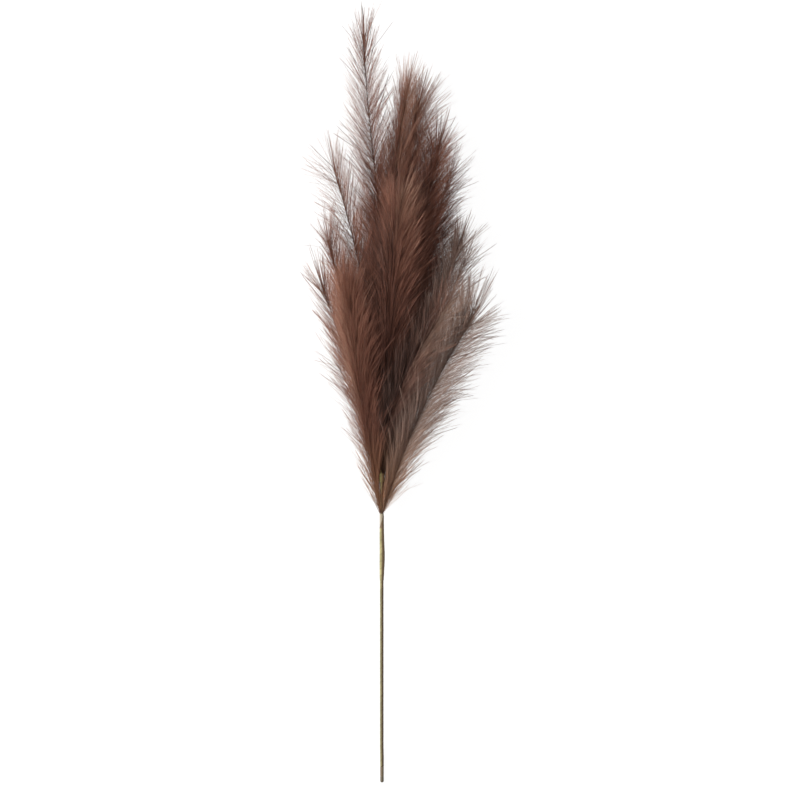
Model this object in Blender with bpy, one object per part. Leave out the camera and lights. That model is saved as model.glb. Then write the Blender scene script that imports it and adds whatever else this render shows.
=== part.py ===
"""An artificial pampas grass spray, lying down: a straight tape-wrapped wire stem whose upper
third carries fifteen feathery sprigs, bound on in four tiers.

Units are metres. The stem runs along +Y from its foot, X is across the spray and Z is up.
Each sprig is a closed solid that reaches the tips of its fibres. The sprigs lie in three
levels, and inside a level each one keeps to its own side of the line halfway to its neighbour.
"""

import math
from collections import namedtuple

import bmesh
import bpy
import numpy as np

GAP = 0.0003  # between pieces that touch

# Stem: taped wire, its centre line rising a little from the foot towards the plume.
STEM_TOP = 0.587
STEM_RADIUS = 0.00235
STEM_RADIUS_IN_PLUME = 0.0018
WIRE_RADIUS = 0.0015
FOOT_RADIUS = 0.00265
FOOT_LENGTH = 0.0235
FOOT_SHIFT = 0.0003  # the thicker foot stands out to the right only
THICK_END = 0.034
THIN_START = 0.058
AXIS_TOP_HEIGHT = 0.024
SIDES = 12

# Neck: tape over the ends of the lowest sprigs' wires, and the pale collar that it leaves bare.
WRAP_START = 0.300
WRAP_EDGE = 0.387
WRAP_SLANT = 0.009
WRAP_RADIUS = 0.00295
BULGE_CENTRE = 0.337
BULGE_WIDTH = 0.022
BULGE = 0.00042
COLLAR_TOP = 0.3985
COLLAR_RADIUS = 0.0029

# Tiers: where each ring of sprigs leaves the stem, just above its binding.
TIERS = (0.399, 0.458, 0.536, 0.583)
BINDING_LENGTH = 0.013
BINDING_RADIUS = 0.0030

# Sprigs: wire size at the root, the first bend outwards, and the levels that they lie in.
WIRE = 0.0006
ROOT_OFFSET = 0.0027
BEND_LENGTH = 0.008
STALK = 0.0008
STEM_SIDE = 0.0037
LEVEL_STEP = 0.0033
STATION_STEP = 0.025
LOW, MIDDLE, TOP = 0, 1, 2

# name, tier, level, side of the stem, tip height, curve of the wire as (x, y) points from the
# root to the tip, and how far the fibres reach to the left and to the right of it.
Sprig = namedtuple("Sprig", "name tier level side tip_z curve left right")
SPRIGS = (
    Sprig("sprig_tall_left", 3, TOP, -1, 0.052,
          ((0.004, 0.730), (-0.012, 0.920), (-0.027, 1.150)), 0.042, 0.040),
    Sprig("sprig_left_upper", 2, MIDDLE, -1, 0.048,
          ((-0.020, 0.700), (-0.053, 0.846), (-0.088, 0.968)), 0.054, 0.036),
    Sprig("sprig_left_middle", 1, MIDDLE, -1, 0.044,
          ((-0.032, 0.600), (-0.065, 0.745), (-0.090, 0.842)), 0.034, 0.036),
    Sprig("sprig_left_lower", 0, LOW, -1, 0.018,
          ((-0.026, 0.530), (-0.076, 0.700), (-0.105, 0.782)), 0.030, 0.040),
    Sprig("sprig_left_bottom", 0, MIDDLE, -1, 0.026,
          ((-0.016, 0.480), (-0.042, 0.570), (-0.100, 0.668)), 0.020, 0.034),
    Sprig("sprig_top_centre", 3, MIDDLE, 0, 0.044,
          ((0.006, 0.740), (0.021, 0.920), (0.047, 1.068)), 0.036, 0.036),
    Sprig("sprig_top_back", 2, LOW, 1, 0.024,
          ((0.012, 0.700), (0.032, 0.880), (0.062, 1.050)), 0.040, 0.050),
    Sprig("sprig_right_upper", 2, MIDDLE, 1, 0.044,
          ((0.024, 0.680), (0.063, 0.860), (0.098, 0.988)), 0.036, 0.038),
    Sprig("sprig_right_upper_back", 1, LOW, 1, 0.022,
          ((0.024, 0.610), (0.070, 0.795), (0.119, 0.958)), 0.040, 0.036),
    Sprig("sprig_right_middle", 1, MIDDLE, 1, 0.042,
          ((0.030, 0.560), (0.078, 0.697), (0.131, 0.840)), 0.036, 0.038),
    Sprig("sprig_right_middle_back", 0, LOW, 1, 0.020,
          ((0.036, 0.530), (0.090, 0.685), (0.143, 0.826)), 0.038, 0.036),
    Sprig("sprig_right_bottom_front", 0, TOP, 1, 0.062,
          ((0.043, 0.514), (0.104, 0.637), (0.176, 0.748)), 0.040, 0.050),
    Sprig("sprig_right_front_short", 1, TOP, 1, 0.068,
          ((0.022, 0.570), (0.062, 0.650), (0.134, 0.768)), 0.036, 0.034),
    Sprig("sprig_centre_front", 2, TOP, 1, 0.072,
          ((0.009, 0.640), (0.018, 0.770), (0.028, 0.900)), 0.036, 0.038),
    Sprig("sprig_left_front", 0, TOP, -1, 0.066,
          ((-0.019, 0.500), (-0.042, 0.650), (-0.057, 0.782)), 0.036, 0.038),
)


def smoothstep(t):
    """0 below 0, 1 above 1, and 3t^2 - 2t^3 between."""
    t = min(max(t, 0.0), 1.0)
    return t * t * (3 - 2 * t)


def axis_height(y):
    """Height of the stem's centre line, a straight line from the foot's radius up to the top."""
    return FOOT_RADIUS + (AXIS_TOP_HEIGHT - FOOT_RADIUS) * min(y, STEM_TOP) / STEM_TOP


def plume_height(y):
    """Height of the plume's back, a smooth rise from the neck and a slow fall to the tip."""
    rise = smoothstep((y - TIERS[0]) / 0.30)
    fall = smoothstep((y - 0.86) / 0.34)
    return axis_height(y) + 0.006 + 0.058 * rise - 0.026 * fall


def level_bounds(level, y):
    """Lowest and highest z of a level: under, beside or over the stem, and thirds beyond it."""
    centre = axis_height(y)
    beyond = smoothstep((y - STEM_TOP) / 0.12)
    low_top = centre - LEVEL_STEP + 0.006 * beyond
    middle_top = centre + LEVEL_STEP - GAP + 0.027 * beyond
    if level == LOW:
        return 0.0, low_top
    if level == MIDDLE:
        return low_top + GAP, middle_top
    return middle_top + GAP, plume_height(y)


def stations():
    """Every y at which the sprigs have a ring: the roots, their bends and an even spacing."""
    own = [tier + step for tier in TIERS for step in (0.0, BEND_LENGTH)]
    own.append(STEM_TOP + 2 * GAP)
    even = np.arange(TIERS[0] + STATION_STEP, 1.2, STATION_STEP)
    even = [y for y in even if min(abs(y - other) for other in own) > STATION_STEP / 3]
    return sorted(own + even)


def root_of(sprig):
    """Where a sprig's wire leaves its tier, as (x, y, z): sixth parts round the stem."""
    y = TIERS[sprig.tier] if sprig.side else STEM_TOP + 2 * GAP
    centre = axis_height(y)
    if sprig.side == 0:
        return 0.0, y, centre
    turn = {LOW: -60, MIDDLE: 0, TOP: 60}[sprig.level]
    across = sprig.side * ROOT_OFFSET * math.cos(math.radians(turn))
    return across, y, centre + ROOT_OFFSET * math.sin(math.radians(turn))


def wire_x(sprig, y):
    """The wire's x at y: the cubic through the root and the sprig's three points."""
    root = root_of(sprig)
    points = np.array([(root[0], root[1]), *sprig.curve])
    return float(np.polyval(np.polyfit(points[:, 1] - root[1], points[:, 0], 3), y - root[1]))


def tip_y(sprig):
    return sprig.curve[-1][1]


def sides_of(sprig, y):
    """The room a sprig has at y: to halfway to its neighbours' wires, and clear of the stem."""
    here = wire_x(sprig, y)
    left, right = -1.0, 1.0
    for other in SPRIGS:
        grown = root_of(other)[1] <= y + GAP and y < tip_y(other) + STATION_STEP
        if other is sprig or other.level != sprig.level or not grown:
            continue
        there = wire_x(other, y)
        if there < here:
            left = max(left, (here + there) / 2 + GAP)
        else:
            right = min(right, (here + there) / 2 - GAP)
    if sprig.level == MIDDLE and y < STEM_TOP + GAP:
        if here > 0:
            left = max(left, STEM_SIDE)
        else:
            right = min(right, -STEM_SIDE)
    return left, right


def octagon(left, right, low, high, y):
    """Eight points at y: the rectangle with its corners cut, so its underside is flat."""
    turns = np.radians(22.5 + 45 * np.arange(8))
    reach = math.cos(math.radians(22.5))
    x = (left + right) / 2 + (right - left) / 2 * np.cos(turns) / reach
    z = (low + high) / 2 + (high - low) / 2 * np.sin(turns) / reach
    return np.stack([x, np.full(8, y), z], axis=1)


def sprig_rings(sprig):
    """A sprig's cross-sections, from the wire's end at the root to the last one below the tip."""
    root = root_of(sprig)
    ys = [y for y in stations() if root[1] - GAP / 2 <= y < tip_y(sprig) - 0.004]
    rings = [octagon(root[0] - WIRE, root[0] + WIRE, root[2] - WIRE, root[2] + WIRE, root[1])]
    for number, y in enumerate(ys[1:]):
        along = (y - root[1]) / (tip_y(sprig) - root[1])
        spread = math.sin(math.pi * along**1.1) ** 0.75
        if number == 0 and sprig.side:
            spread = 0.0
        floor, ceiling = level_bounds(sprig.level, y)
        half = STALK + ((ceiling - floor) / 2 - STALK) * min(1.0, 1.3 * spread)
        middle_z = sprig.tip_z + (root[2] - sprig.tip_z) * (1 - along) ** 2
        middle_z = min(max(middle_z, floor + half), ceiling - half)
        x = wire_x(sprig, y)
        room = sides_of(sprig, y)
        left = max(x - STALK - sprig.left * spread, room[0])
        right = min(x + STALK + sprig.right * spread, room[1])
        if right - left < 2 * STALK:
            left, right = (left, left + 2 * STALK) if x > 0 else (right - 2 * STALK, right)
        rings.append(octagon(left, right, middle_z - half, middle_z + half, y))
    tip = (wire_x(sprig, tip_y(sprig)), tip_y(sprig), sprig.tip_z)
    return rings, tip


def round_ring(y, radius, x=0.0, slant=0.0):
    """Points round the stem's centre line at y, with the right side slant further along."""
    turns = 2 * math.pi * np.arange(SIDES) / SIDES
    across = np.cos(turns)
    along = y + slant * across
    heights = np.array([axis_height(value) for value in along])
    return np.stack([x + radius * across, along, heights + radius * np.sin(turns)], axis=1)


def material(name, colour, roughness):
    """A plain Principled material of an sRGB colour in hex."""
    made = bpy.data.materials.new(name)
    made.use_nodes = True
    shader = made.node_tree.nodes["Principled BSDF"]
    values = [int(colour[i:i + 2], 16) / 255 for i in (0, 2, 4)]
    linear = [v / 12.92 if v <= 0.04045 else ((v + 0.055) / 1.055) ** 2.4 for v in values]
    shader.inputs["Base Color"].default_value = (*linear, 1.0)
    shader.inputs["Roughness"].default_value = roughness
    shader.inputs["Metallic"].default_value = 0.0
    return made


def loft(name, rings, surface, parent, tip=None, closed_loop=False):
    """One closed body through a list of rings. Its end is a flat cap, or a point if tip is
    given, and with closed_loop the last ring joins the first, as on a sleeve."""
    bm = bmesh.new()
    loops = [[bm.verts.new(point) for point in ring] for ring in rings]
    pairs = list(zip(loops, loops[1:]))
    if closed_loop:
        pairs.append((loops[-1], loops[0]))
    for lower, upper in pairs:
        count = len(lower)
        for i in range(count):
            j = (i + 1) % count
            bm.faces.new((lower[i], lower[j], upper[j], upper[i]))
    if not closed_loop:
        bm.faces.new(loops[0])
        if tip is None:
            bm.faces.new(loops[-1])
        else:
            end = bm.verts.new(tip)
            last = loops[-1]
            for i in range(len(last)):
                bm.faces.new((last[i], last[(i + 1) % len(last)], end))
    bmesh.ops.recalc_face_normals(bm, faces=bm.faces)
    mesh = bpy.data.meshes.new(name)
    bm.to_mesh(mesh)
    bm.free()
    mesh.shade_smooth()
    mesh.set_sharp_from_angle(angle=math.radians(50))
    mesh.materials.append(surface)
    made = bpy.data.objects.new(name, mesh)
    bpy.context.scene.collection.objects.link(made)
    made.parent = parent
    return made


def sleeve(name, outer, bore, surface, parent):
    """A tube round the stem: out along the outer rings and back along the bore's."""
    return loft(name, outer + bore[::-1], surface, parent, closed_loop=True)


def make_stem(parent, tape):
    """The taped wire: bare inside the foot cap, thick just above it, then full width up to the
    neck, and thinner in the plume."""
    profile = (
        (0.003, WIRE_RADIUS, 0.0),
        (FOOT_LENGTH + GAP, WIRE_RADIUS, 0.0),
        (FOOT_LENGTH + 2 * GAP, FOOT_RADIUS, FOOT_SHIFT),
        (THICK_END, FOOT_RADIUS, FOOT_SHIFT),
        (THIN_START, STEM_RADIUS, 0.0),
        (0.200, STEM_RADIUS, 0.0),
        (COLLAR_TOP - 0.004, STEM_RADIUS, 0.0),
        (COLLAR_TOP, STEM_RADIUS_IN_PLUME, 0.0),
        (STEM_TOP, STEM_RADIUS_IN_PLUME, 0.0),
    )
    return loft("stem", [round_ring(*ring) for ring in profile], tape, parent)


def make_foot_cap(parent, surface):
    """The cap on the stem's foot, with a domed end and a blind bore for the wire."""
    dome = []
    for step in range(1, 5):
        turn = math.pi / 2 * step / 4
        dome.append((FOOT_RADIUS * (1 - math.cos(turn)), FOOT_RADIUS * math.sin(turn)))
    dome[-1] = (FOOT_RADIUS, FOOT_RADIUS)
    profile = dome + [(0.012, FOOT_RADIUS), (FOOT_LENGTH, FOOT_RADIUS)]
    outside = [round_ring(y, radius, x=FOOT_SHIFT) for y, radius in profile]
    bore = [round_ring(y, WIRE_RADIUS + GAP) for y in (FOOT_LENGTH, 0.0025)]
    return loft("foot_cap", outside + bore, surface, parent)


def make_neck(parent, tape, pale):
    """The neck wrap, which bulges to the right, and the pale collar past its slanted edge."""
    outer = []
    for y in np.linspace(WRAP_START, WRAP_EDGE, 9):
        bulge = BULGE * math.exp(-(((y - BULGE_CENTRE) / BULGE_WIDTH) ** 2))
        slant = WRAP_SLANT * smoothstep((y - 0.340) / (WRAP_EDGE - 0.340))
        ease = 0.0002 * smoothstep((y - WRAP_START) / 0.012) - 0.0002
        outer.append(round_ring(y, WRAP_RADIUS + ease + bulge, x=bulge, slant=slant))
    inner = STEM_RADIUS + GAP
    bore = [round_ring(WRAP_START, inner), round_ring(WRAP_EDGE, inner, slant=WRAP_SLANT)]
    sleeve("neck_wrap", outer, bore, tape, parent)
    start = WRAP_EDGE + GAP
    shell = [round_ring(start, COLLAR_RADIUS, slant=WRAP_SLANT), round_ring(COLLAR_TOP, COLLAR_RADIUS)]
    bore = [round_ring(start, inner, slant=WRAP_SLANT), round_ring(COLLAR_TOP, inner)]
    sleeve("neck_collar", shell, bore, pale, parent)


def make_binding(number, parent, tape):
    """The tape turns that hold one upper tier's wires to the stem."""
    top = TIERS[number] - GAP
    ends = (top - BINDING_LENGTH, top - BINDING_LENGTH / 2, top)
    outer = [round_ring(y, BINDING_RADIUS - 0.0003 * (i != 1)) for i, y in enumerate(ends)]
    bore = [round_ring(y, STEM_RADIUS_IN_PLUME + GAP) for y in (ends[0], ends[-1])]
    sleeve(f"binding_tier_{number + 1}", outer, bore, tape, parent)


def centre_over_origin(parent):
    """Moves the parent so that the spray's box is centred over the origin and rests on z = 0."""
    points = np.array([v.co[:] for child in parent.children for v in child.data.vertices])
    low, high = points.min(axis=0), points.max(axis=0)
    parent.location = (-(low[0] + high[0]) / 2, -(low[1] + high[1]) / 2, -low[2])


for leftover in list(bpy.data.objects):
    bpy.data.objects.remove(leftover, do_unlink=True)

spray = bpy.data.objects.new("spray", None)
bpy.context.scene.collection.objects.link(spray)

stem_tape = material("olive stem tape", "7d6f49", 0.6)
make_stem(spray, stem_tape)
make_foot_cap(spray, material("tan foot cap", "8d7a60", 0.6))
make_neck(spray, stem_tape, material("pale collar", "c8bfae", 0.6))
for tier in (1, 2, 3):
    make_binding(tier, spray, stem_tape)

fibre = material("brown plume fibre", "5d4238", 0.7)
for sprig in SPRIGS:
    rings, tip = sprig_rings(sprig)
    loft(sprig.name, rings, fibre, spray, tip=tip)

centre_over_origin(spray)
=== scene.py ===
"""Looks of an artificial pampas grass stem that lies on a pale floor, seen from straight above.

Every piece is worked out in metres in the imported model's frame: the stem runs along +Y from its
foot, X is across the spray and Z is up. Distances named y are measured from the foot.
"""

import bpy
import numpy as np
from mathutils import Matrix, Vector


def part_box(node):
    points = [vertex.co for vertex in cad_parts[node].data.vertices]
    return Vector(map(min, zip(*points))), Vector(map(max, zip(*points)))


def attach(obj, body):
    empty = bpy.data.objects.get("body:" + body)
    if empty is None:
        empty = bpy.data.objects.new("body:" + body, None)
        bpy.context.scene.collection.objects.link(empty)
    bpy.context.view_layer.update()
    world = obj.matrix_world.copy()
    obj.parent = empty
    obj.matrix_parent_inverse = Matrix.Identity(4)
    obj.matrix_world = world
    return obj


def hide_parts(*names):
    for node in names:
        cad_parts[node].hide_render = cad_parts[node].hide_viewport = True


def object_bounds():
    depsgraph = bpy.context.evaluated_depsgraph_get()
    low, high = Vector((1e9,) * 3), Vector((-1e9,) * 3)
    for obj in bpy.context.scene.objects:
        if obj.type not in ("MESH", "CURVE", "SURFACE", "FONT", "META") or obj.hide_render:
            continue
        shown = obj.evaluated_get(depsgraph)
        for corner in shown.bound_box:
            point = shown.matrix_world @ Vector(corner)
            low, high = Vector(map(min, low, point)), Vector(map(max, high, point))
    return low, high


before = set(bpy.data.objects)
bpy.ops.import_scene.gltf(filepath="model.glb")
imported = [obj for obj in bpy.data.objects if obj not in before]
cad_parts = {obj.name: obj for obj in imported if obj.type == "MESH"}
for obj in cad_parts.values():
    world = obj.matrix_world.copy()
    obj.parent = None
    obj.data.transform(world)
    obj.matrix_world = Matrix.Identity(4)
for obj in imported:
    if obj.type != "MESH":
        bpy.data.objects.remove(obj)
cad_box = [list(corner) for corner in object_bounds()]

# ----------------------------------------------------------
# Stem. A 3 mm steel wire wound from its foot to the top tier with olive crepe floral tape,
# which is stretched as it goes on, so that each turn laps over the last. Only the tape shows.
GAP = 0.0003
STEM_TOP = 0.587
STEM_RADIUS = 0.0026
STEM_RADIUS_IN_PLUME = 0.0018
THINNING = 0.004
FOOT_RADIUS = 0.00265
FOOT_LENGTH = 0.0235
FOOT_SHIFT = 0.0003
THICK_END = 0.034
THIN_START = 0.058
AXIS_TOP_HEIGHT = 0.024
COLLAR_TOP = 0.3985
LAP_PITCH = 0.0105
LAP_STEP = 0.00010
LAP_EDGE = 0.93
LAP_EDGE_WIDTH = 0.07
STEM_SIDES = 28
RING_STEP = 0.0007
# Where the tape is brown all round beside its slanted cut, where handling has darkened it, and
# where painted light makes it paler inside the plume.
PATCH_MIDDLE = 0.3875
PATCH_HALF = 0.0105
HANDLED_UP_TO = 0.28
CLEAN_FROM = 0.31
PAINTED_LIGHT_FROM = 0.42
FULL_PAINTED_LIGHT_FROM = 0.44

FOOT_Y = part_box("foot_cap")[0].y
tier_low, tier_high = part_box("binding_tier_2")
AXIS_X = (tier_low.x + tier_high.x) / 2


def linear(colour):
    """sRGB hex to linear RGBA: c / 12.92 up to 0.04045, ((c + 0.055) / 1.055) ^ 2.4 above."""
    srgb = np.array([int(colour[i:i + 2], 16) for i in (0, 2, 4)]) / 255
    curved = ((srgb + 0.055) / 1.055) ** 2.4
    return (*np.where(srgb <= 0.04045, srgb / 12.92, curved).tolist(), 1.0)


def add_node(tree, kind, inputs=None, stops=None, **settings):
    """Adds a node with its settings. Each of its inputs is a value, or an output to link, and
    stops are a ramp's (position, hex colour) pairs."""
    node = tree.nodes.new(kind)
    for name, value in settings.items():
        setattr(node, name, value)
    for name, value in (inputs or {}).items():
        if isinstance(value, bpy.types.NodeSocket):
            tree.links.new(value, node.inputs[name])
        else:
            node.inputs[name].default_value = value
    for number, (position, colour) in enumerate(stops or ()):
        elements = node.color_ramp.elements
        element = elements[number] if number < 2 else elements.new(position)
        element.position = position
        element.color = linear(colour)
    return node


def smoothstep(t):
    """0 below 0, 1 above 1 and 3t^2 - 2t^3 between."""
    t = np.clip(t, 0.0, 1.0)
    return t * t * (3 - 2 * t)


def axis_height(y):
    """Height of the stem's centre line: a straight rise from the foot's radius to the top."""
    return FOOT_RADIUS + (AXIS_TOP_HEIGHT - FOOT_RADIUS) * np.minimum(y, STEM_TOP) / STEM_TOP


def mesh_object(name, points, corners, starts, uv, surface):
    """One object from whole arrays: its points, the corners of all faces in a row, where each
    face starts among them, and each corner's (u, v)."""
    mesh = bpy.data.meshes.new(name)
    mesh.vertices.add(len(points))
    mesh.vertices.foreach_set("co", np.asarray(points, np.float32).ravel())
    mesh.loops.add(len(corners))
    mesh.loops.foreach_set("vertex_index", np.asarray(corners, np.int32))
    mesh.polygons.add(len(starts))
    mesh.polygons.foreach_set("loop_start", np.asarray(starts, np.int32))
    mesh.update(calc_edges=True)
    mesh.uv_layers.new(name="OFBake").uv.foreach_set("vector", np.asarray(uv, np.float32).ravel())
    mesh.polygons.foreach_set("use_smooth", np.ones(len(starts), bool))
    mesh.materials.append(surface)
    made = bpy.data.objects.new(name, mesh)
    bpy.context.scene.collection.objects.link(made)
    return made


def ring_surface(name, rings, surface, loop=False):
    """A closed skin over rings (rows, sides, 3), each turning from the right over the top.
    Its ends are fans to their middle points, or with loop the last row joins the first.
    u runs round a ring from underneath and v along the rows."""
    rows, sides = rings.shape[:2]
    row = np.arange(rows if loop else rows - 1)[:, None]
    side = np.arange(sides)[None, :]
    after = (row + 1) % rows
    beside = (side + 1) % sides
    quads = np.stack([row * sides + side, after * sides + side,
                      after * sides + beside, row * sides + beside], axis=-1).reshape(-1, 4)
    v_low = np.broadcast_to(0.02 + 0.96 * row / len(row), (len(row), sides))
    v_high = np.broadcast_to(0.02 + 0.96 * (row + 1) / len(row), (len(row), sides))
    u_low = np.broadcast_to(side / sides, v_low.shape)
    u_high = np.broadcast_to((side + 1) / sides, v_low.shape)
    uv = np.stack([u_low, v_low, u_low, v_high, u_high, v_high, u_high, v_low], axis=-1)
    points = rings.reshape(-1, 3)
    corners = quads.ravel()
    starts = np.arange(len(quads)) * 4
    uv = uv.reshape(-1, 2)
    if not loop:
        points = np.concatenate([points, rings[[0, -1]].mean(axis=1)])
        edge = np.arange(sides)
        following = (edge + 1) % sides
        first = np.full(sides, rows * sides)
        last_row = (rows - 1) * sides
        fans = np.concatenate([np.stack([first, edge, following], axis=1),
                               np.stack([first + 1, last_row + following, last_row + edge], axis=1)])
        u_mid = (edge + 0.5) / sides
        zero, one = np.zeros(sides), np.ones(sides)
        fan_uv = np.concatenate([
            np.stack([u_mid, zero, edge / sides, zero + 0.02, (edge + 1) / sides, zero + 0.02], 1),
            np.stack([u_mid, one, (edge + 1) / sides, one - 0.02, edge / sides, one - 0.02], 1)])
        corners = np.concatenate([corners, fans.ravel()])
        starts = np.concatenate([starts, len(quads) * 4 + np.arange(len(fans)) * 3])
        uv = np.concatenate([uv, fan_uv.reshape(-1, 2)])
    return mesh_object(name, points, corners, starts, uv, surface)


def turned_rings(y, radius, shift=0.0, slant=0.0, sides=STEM_SIDES):
    """Rings (rows, sides, 3) round the stem's centre line at each y, of a radius that may
    differ all round. shift moves them to the right, and slant leans their right side on."""
    turn = np.pi * (2 * np.arange(sides) / sides - 0.5)[None, :]
    y = np.asarray(y, float)[:, None] + np.reshape(slant, (-1, 1)) * np.cos(turn)
    x = AXIS_X + np.reshape(shift, (-1, 1)) + radius * np.cos(turn)
    z = axis_height(y) + radius * np.sin(turn)
    return np.stack(np.broadcast_arrays(x, FOOT_Y + y, z), axis=-1)


def lapped(y, sides=STEM_SIDES):
    """Tape thickness over each turn: it grows evenly along the turn and drops at its edge."""
    round_share = (np.arange(sides) / sides)[None, :]
    share = (np.asarray(y)[:, None] / LAP_PITCH + round_share) % 1.0
    return LAP_STEP * share * (1 - smoothstep((share - LAP_EDGE) / LAP_EDGE_WIDTH))


def uneven(y, seed, amount):
    """A slow wander of a width along y: seven sines of random length and phase."""
    rng = np.random.default_rng(seed)
    lengths = rng.uniform(0.012, 0.09, 7)[:, None]
    phases = rng.uniform(0, 2 * np.pi, 7)[:, None]
    waves = np.sin(2 * np.pi * np.asarray(y)[None, :] / lengths + phases)
    return (amount * waves.mean(axis=0))[:, None]


# Crepe floral tape, paper stretched and waxed: matt olive, with painted light on the ridges of the
# crepe and painted shade in the step where one turn laps over the last. Its right half, away from
# the key light, is painted browner as shade. Handling has darkened the stem's tape more than the
# neck's, and inside the plume, where the fibres shade it, painted light makes it paler. Crepe
# ridges are 0.4 mm apart, and are drawn at 0.8 mm so that they show.
tape = bpy.data.materials.new("olive crepe floral tape")
tape.use_nodes = True
tree = tape.node_tree
shader = tree.nodes["Principled BSDF"]
place = add_node(tree, "ShaderNodeTexCoord")
own_map = add_node(tree, "ShaderNodeUVMap", uv_map="OFBake")
along = add_node(tree, "ShaderNodeSeparateXYZ", {0: place.outputs["Object"]})
around = add_node(tree, "ShaderNodeSeparateXYZ", {0: own_map.outputs["UV"]})
turns = add_node(tree, "ShaderNodeMath", {0: along.outputs["Y"], 1: 1 / LAP_PITCH,
                                          2: around.outputs["X"]}, operation="MULTIPLY_ADD")
lap = add_node(tree, "ShaderNodeMath", {0: turns.outputs[0]}, operation="FRACT")
# Painted shade in the low step where one turn laps over the last.
lap_shade = add_node(tree, "ShaderNodeMapRange", {"Value": lap.outputs[0], "From Min": 0.0,
                                                  "From Max": 0.22, "To Min": 0.55,
                                                  "To Max": 0.0})
squeeze = add_node(tree, "ShaderNodeMapping", {"Vector": place.outputs["Object"],
                                               "Scale": (1.0, 0.45, 1.0)})
crepe = add_node(tree, "ShaderNodeTexNoise", {"Vector": squeeze.outputs[0], "Scale": 1250.0,
                                              "Detail": 3.0, "Roughness": 0.6})
stain = add_node(tree, "ShaderNodeTexNoise", {"Vector": squeeze.outputs[0], "Scale": 150.0,
                                              "Detail": 2.0})
# Painted light: the crepe's ridges are painted lighter, over the tape's real stains.
stain_and_ridge_light = add_node(tree, "ShaderNodeMath", {0: crepe.outputs["Fac"], 1: 0.45,
                                           2: stain.outputs["Fac"]}, operation="MULTIPLY_ADD")
olive = add_node(tree, "ShaderNodeValToRGB", {"Fac": stain_and_ridge_light.outputs[0]},
                 stops=((0.42, "757044"), (1.0, "ada573"), (0.70, "918a5a")))
# Painted shade: the tape's right half, away from the key light, is painted brown. Beside the slanted
# cut it is brown all round.
shade_side_mask = add_node(tree, "ShaderNodeValToRGB", {"Fac": around.outputs["X"]},
                      stops=((0.47, "ffffff"), (0.56, "000000")))
neck_patch = add_node(tree, "ShaderNodeMath", {0: along.outputs["Y"], 1: FOOT_Y + PATCH_MIDDLE,
                                               2: PATCH_HALF}, operation="COMPARE")
shade_side_and_cut_band = add_node(tree, "ShaderNodeMath", {0: shade_side_mask.outputs[0],
                                            1: neck_patch.outputs[0]}, operation="MAXIMUM")
shade_sided_colour = add_node(tree, "ShaderNodeMix", {0: shade_side_and_cut_band.outputs[0], 6: olive.outputs[0],
                                         7: linear("705a41")}, data_type="RGBA")
tape_colour = add_node(tree, "ShaderNodeMix", {0: lap_shade.outputs[0], 6: shade_sided_colour.outputs[2],
                                               7: linear("5a4c2e")}, data_type="RGBA")
handled = add_node(tree, "ShaderNodeMapRange", {"Value": along.outputs["Y"],
                                                "From Min": FOOT_Y + HANDLED_UP_TO,
                                                "From Max": FOOT_Y + CLEAN_FROM,
                                                "To Min": 0.56, "To Max": 0.86})
# Painted light: inside the plume, where the fibres shade it, the tape is painted several times
# paler.
plume_painted_light = add_node(tree, "ShaderNodeMapRange", {"Value": along.outputs["Y"],
                                              "From Min": FOOT_Y + PAINTED_LIGHT_FROM,
                                              "From Max": FOOT_Y + FULL_PAINTED_LIGHT_FROM,
                                              "To Max": 1.9})
wear_and_painted_light = add_node(tree, "ShaderNodeMath", {0: handled.outputs[0], 1: plume_painted_light.outputs[0]})
worn_and_lit_colour = add_node(tree, "ShaderNodeMix", {0: 1.0, 6: tape_colour.outputs[2],
                                               7: wear_and_painted_light.outputs[0]},
                       data_type="RGBA", blend_type="MULTIPLY")
ridges = add_node(tree, "ShaderNodeBump", {"Height": crepe.outputs["Fac"], "Strength": 0.5,
                                           "Distance": 0.0002})
tree.links.new(worn_and_lit_colour.outputs[2], shader.inputs["Base Color"])
tree.links.new(ridges.outputs[0], shader.inputs["Normal"])
waxed = add_node(tree, "ShaderNodeMapRange", {"Value": crepe.outputs["Fac"], "To Min": 0.48,
                                              "To Max": 0.68})
tree.links.new(waxed.outputs[0], shader.inputs["Roughness"])
shader.inputs["IOR"].default_value = 1.48

y_stem = np.arange(FOOT_LENGTH + GAP, STEM_TOP, RING_STEP)
thick = smoothstep((THIN_START - y_stem) / (THIN_START - THICK_END))[:, None]
in_plume = smoothstep((y_stem - COLLAR_TOP + THINNING) / THINNING)[:, None]
stem_radius = STEM_RADIUS + (FOOT_RADIUS - STEM_RADIUS) * thick
stem_radius = stem_radius + (STEM_RADIUS_IN_PLUME - STEM_RADIUS) * in_plume
stem_radius = stem_radius * (1 + uneven(y_stem, 3, 0.025)) + lapped(y_stem) - LAP_STEP / 2
stem_rings = turned_rings(y_stem, stem_radius, shift=FOOT_SHIFT * thick)
stem = ring_surface("stem_tape", stem_rings, tape)
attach(stem, "root")
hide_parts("stem")

# ----------------------------------------------------------
# Foot cap. A tan moulded PVC sleeve pushed over the wire's cut end, with a rounded end plug
# set off by a shallow groove.
PLUG_LENGTH = 0.0095
GROOVE = 0.00022
GROOVE_HALF = 0.0005
SLEEVE_START = 0.0033
CAP_RINGS = 60
RIM = 0.0002
RIM_LENGTH = 0.0006

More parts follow.
